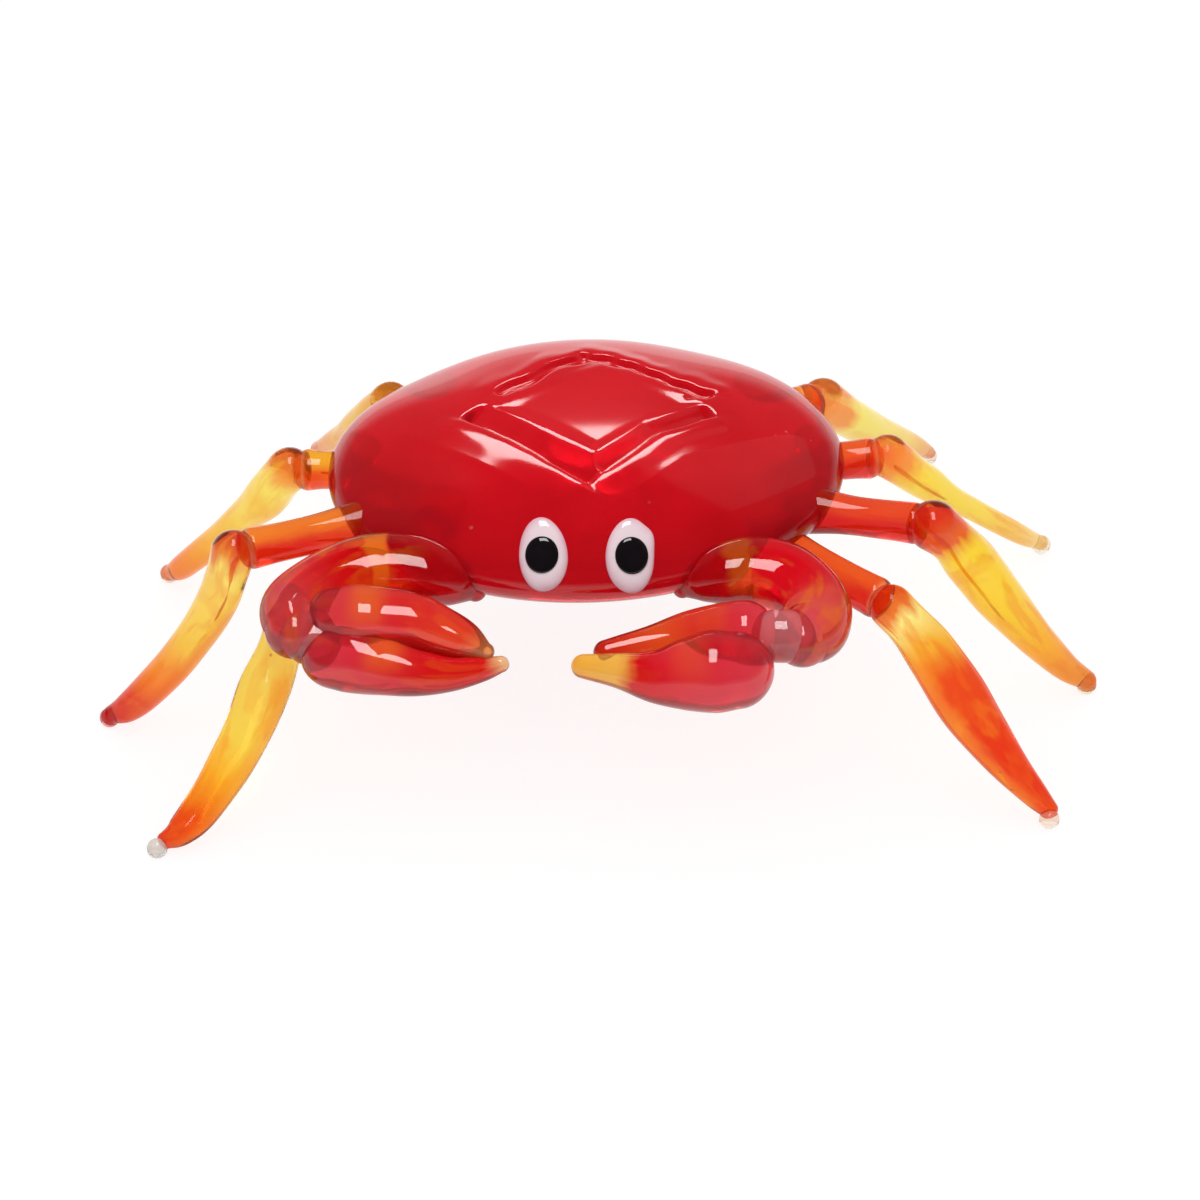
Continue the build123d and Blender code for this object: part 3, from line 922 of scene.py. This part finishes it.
def blade_finish(leg, length, seed):
    material, wires = new_finish(f"blade_glass_{leg}")
    thread_colour, thread_strength, edge_colour, edge_strength, clearness, ior = BLADE_STREAKS[leg]
    wisp = streaks(wires, length, *BLADE_WISPS, seed)
    along = wires.mark("along")
    colour = wires.put("ValToRGB", {"stops": BLADE_COLOURS[leg]}, {"Fac": along + (wisp - 0.5) * 0.22})
    colour = colour.tint(thread_colour, wisp.between(*BLADE_THREAD) * thread_strength)
    edge = wires.mark("edge") * (1 if leg.startswith("left") else -1)
    streak = (edge + (wisp - 0.5) * 0.8).ease(0.15, 0.75)
    streak = streak * along.ease(0.12, 0.35) * (1 - along.ease(0.88, 0.98))
    colour = colour.tint(edge_colour, streak * edge_strength)
    blade_bubbles = wires.bubbles(*BLADE_BUBBLES)
    glass(wires, colour.tint(seen(150, 90, 30), blade_bubbles * BUBBLE_STRENGTH), clearness, ior=ior)
    return material


for seed, leg in enumerate(KNEES, 51):
    knee, foot = knee_of(leg), foot_of(leg)
    chord = foot - knee
    beside = np.cross(chord, SIGHT)
    beside /= np.linalg.norm(beside)
    route, wide = [], []
    for share, aside, half in BLADES[leg]:
        place = knee + chord * min(share, FRONT_BLADE_ENDS.get(leg, BLADE_END)) + beside * aside
        place[2] = max(place[2], half + BLADE_CLEAR_OF_FLOOR)
        route.append(place)
        wide.append(half)
    high = np.array(wide) * BLADE_THICKNESS
    high[0] = wide[0]
    cap = FRONT_BLADE_CAP if leg in FRONT_BLADE_ENDS else 1.0
    verts, faces, marks, length = drawn_limb(route, wide, high, BLADE_RINGS, seed, end=cap)
    finish = blade_finish(leg, length, seed)
    glass_piece(f"blade_{leg}", f"leg_blade_{leg}", verts, faces, finish, marks)


# The feet are dabs of clear, slightly milky glass, each fused to a leg's tip and pressed flat where the crab
# stands.
DAB_RADIUS = 1.22
DAB_RISE = 0.85
DAB_SIDES = 40
DAB_RINGS = 16
DAB_TOP = math.radians(84)
DAB_CLEARNESS = 0.85
MILKY_DAB = {"left_front": 0.6}
DAB_ROUGHNESS = 0.05
DAB_COLOURS = {
    "left_rear": seen(255, 230, 206),
    "left_mid_rear": seen(255, 226, 200),
    "left_mid_front": seen(236, 80, 70),
    "left_front": seen(230, 220, 212),
    "right_rear": seen(254, 232, 214),
    "right_mid_rear": seen(255, 240, 204),
    "right_mid_front": seen(255, 218, 150),
    "right_front": seen(253, 226, 204),
}

angles = np.linspace(0, 2 * math.pi, DAB_SIDES, endpoint=False)
around = np.stack([np.cos(angles), np.sin(angles), np.zeros(DAB_SIDES)], axis=1)
for leg in KNEES:
    dab_finish, wires = new_finish(f"foot_clear_glass_{leg}")
    milky = wires.noise(wires.place(), 700.0, 2.0).ease(0.4, 0.7)
    pale = wires.flat(DAB_COLOURS[leg]).tint(seen(255, 250, 244), milky * 0.3)
    glass(wires, pale, MILKY_DAB.get(leg, DAB_CLEARNESS), DAB_ROUGHNESS, LEG_IOR)
    middle = foot_of(leg)
    middle[2] = DAB_RISE
    rows = []
    for turn in np.linspace(-math.asin(DAB_RISE / DAB_RADIUS), DAB_TOP, DAB_RINGS):
        rows.append(middle + around * DAB_RADIUS * math.cos(turn) + (0, 0, DAB_RADIUS * math.sin(turn)))
    verts, faces = with_poles(np.array(rows), middle - (0, 0, DAB_RISE), middle + (0, 0, DAB_RADIUS))
    glass_piece(f"dab_{leg}", f"foot_dab_{leg}", verts, faces, dab_finish)


# The crab stands on a plain pale floor, which the camera sees as white, with the crab's faint shadow on it.
# Round both is a room of soft white light.
FLOOR_HALF = 3.0
FLOOR_PLAIN = 0.80
FLOOR_LIT = 0.26
FLOOR_GLOW = 0.85
ROOM_DARK = 0.04
ROOM_BEHIND = 0.11
ROOM_LOW = 0.5
ROOM_SOFT = 0.72
ROOM_DIMMER_ABOVE = 0.15

floor_mesh = bpy.data.meshes.new("floor")
floor_corners = [(x * FLOOR_HALF, y * FLOOR_HALF, 0) for x, y in ((-1, -1), (1, -1), (1, 1), (-1, 1))]
floor_mesh.from_pydata(floor_corners, [], [(0, 1, 2, 3)])
floor = bpy.data.objects.new("floor", floor_mesh)
bpy.context.scene.collection.objects.link(floor)
floor_finish, wires = new_finish("pale_floor")
looked = wires.put("LightPath", out="Is Glossy Ray").most(wires.put("LightPath", out="Is Transmission Ray"))
looked = wires.put("LightPath", out="Is Camera Ray").most(looked)
plain = wires.put("BsdfDiffuse", None, {"Color": (FLOOR_PLAIN, FLOOR_PLAIN, FLOOR_PLAIN, 1)})
lit = wires.put("BsdfDiffuse", None, {"Color": (FLOOR_LIT, FLOOR_LIT, FLOOR_LIT, 1)})
glow = wires.put("Emission", None, {"Color": (1, 1, 1, 1), "Strength": FLOOR_GLOW})
both = wires.put("AddShader", None, {0: lit, 1: glow})
shader = wires.put("MixShader", None, {0: looked, 1: plain, 2: both})
wires.put("OutputMaterial", None, {"Surface": shader}, None)
floor_mesh.materials.append(floor_finish)

world = bpy.data.worlds.new("studio")
bpy.context.scene.world = world
world.use_nodes = True
world.node_tree.nodes.clear()
wires = Wire(world.node_tree)
camera_ray, diffuse_ray, clear_ray = (
    wires.put("LightPath", out=name)
    for name in ("Is Camera Ray", "Is Diffuse Ray", "Is Transmission Ray")
)
direction = wires.put("TexCoord")
behind = wires.put("SeparateXYZ", None, {"Vector": direction}, "Y")
height = wires.put("SeparateXYZ", None, {"Vector": direction}, "Z")
room = ROOM_DARK + behind.ease(-0.2, 0.4) * ROOM_BEHIND * (1 - height.ease(0.75, 0.9))
room = room + (1 - height.ease(0.02, 0.24)) * ROOM_LOW
strength = room * (1 - diffuse_ray) + diffuse_ray * ROOM_SOFT
strength = strength * (1 - clear_ray) + clear_ray * (1 - height.ease(0.3, 0.9) * ROOM_DIMMER_ABOVE)
strength = strength * (1 - camera_ray) + camera_ray
background = wires.put("Background", None, {"Color": (1, 1, 1, 1), "Strength": strength})
wires.put("OutputWorld", None, {"Surface": background}, None)


# The panes of a window give the highlights, each in some pieces only: a low one behind and a faint one to
# the right in the shell, one above in the legs, the feet and most of the claws, one nearer the camera in the
# arms and the left claw's rear lobe, and one a little farther back in the eyes.
CRAB_MIDDLE = Vector((0, 0, 0.02))
# Each pane: its place, its size, its power and how the names of its pieces start
PANES = {
    "window_low": ((-0.03, 0.373, 0.478), (0.31, 0.15), 1.5, ("shell_gather",)),
    "window_high": (
        (0.0, -0.08, 0.61), (0.16, 0.40), 2.0,
        ("finger_lower", "finger_upper_right", "collar_", "rod_", "blade_", "dab_"),
    ),
    "window_arms": ((0.0, -0.24, 0.56), (0.16, 0.34), 1.7, ("arm_", "finger_upper_left")),
    "window_eyes": ((-0.02, 0.12, 0.60), (0.22, 0.20), 1.5, ("eye_",)),
    "window_side": ((0.27, 0.30, 0.42), (0.22, 0.34), 0.04, ("shell_gather",)),
}

for name, (place, size, power, starts) in PANES.items():
    pane = bpy.data.lights.new(name, "AREA")
    pane.shape = "RECTANGLE"
    pane.size, pane.size_y = size
    pane.energy = power
    lamp = bpy.data.objects.new(name, pane)
    lamp.location = place
    lamp.rotation_euler = (CRAB_MIDDLE - lamp.location).to_track_quat("-Z", "Y").to_euler()
    bpy.context.scene.collection.objects.link(lamp)
    lit_pieces = bpy.data.collections.new(name)
    for piece in bpy.context.scene.collection.objects:
        if piece.name.startswith(starts):
            lit_pieces.objects.link(piece)
    lamp.light_linking.receiver_collection = lit_pieces


# The camera looks down at the crab's face, along SIGHT and with a long lens. It stands about as far off as a
# person would who takes a picture of a small figurine.
CAMERA_DISTANCE = 0.55
CAMERA_TILT = math.radians(37.0)
AIM = (-0.0003, -0.0044, 0.010)
LENS = 135.3
SENSOR = 36.0

camera_data = bpy.data.cameras.new("camera")
camera_data.lens = LENS
camera_data.sensor_width = SENSOR
camera = bpy.data.objects.new("camera", camera_data)
camera.location = (
    AIM[0],
    AIM[1] - CAMERA_DISTANCE * math.cos(CAMERA_TILT),
    AIM[2] + CAMERA_DISTANCE * math.sin(CAMERA_TILT),
)
camera.rotation_euler = (math.pi / 2 - CAMERA_TILT, 0, 0)
bpy.context.scene.collection.objects.link(camera)
bpy.context.scene.camera = camera
bpy.context.scene.view_settings.view_transform = "Standard"
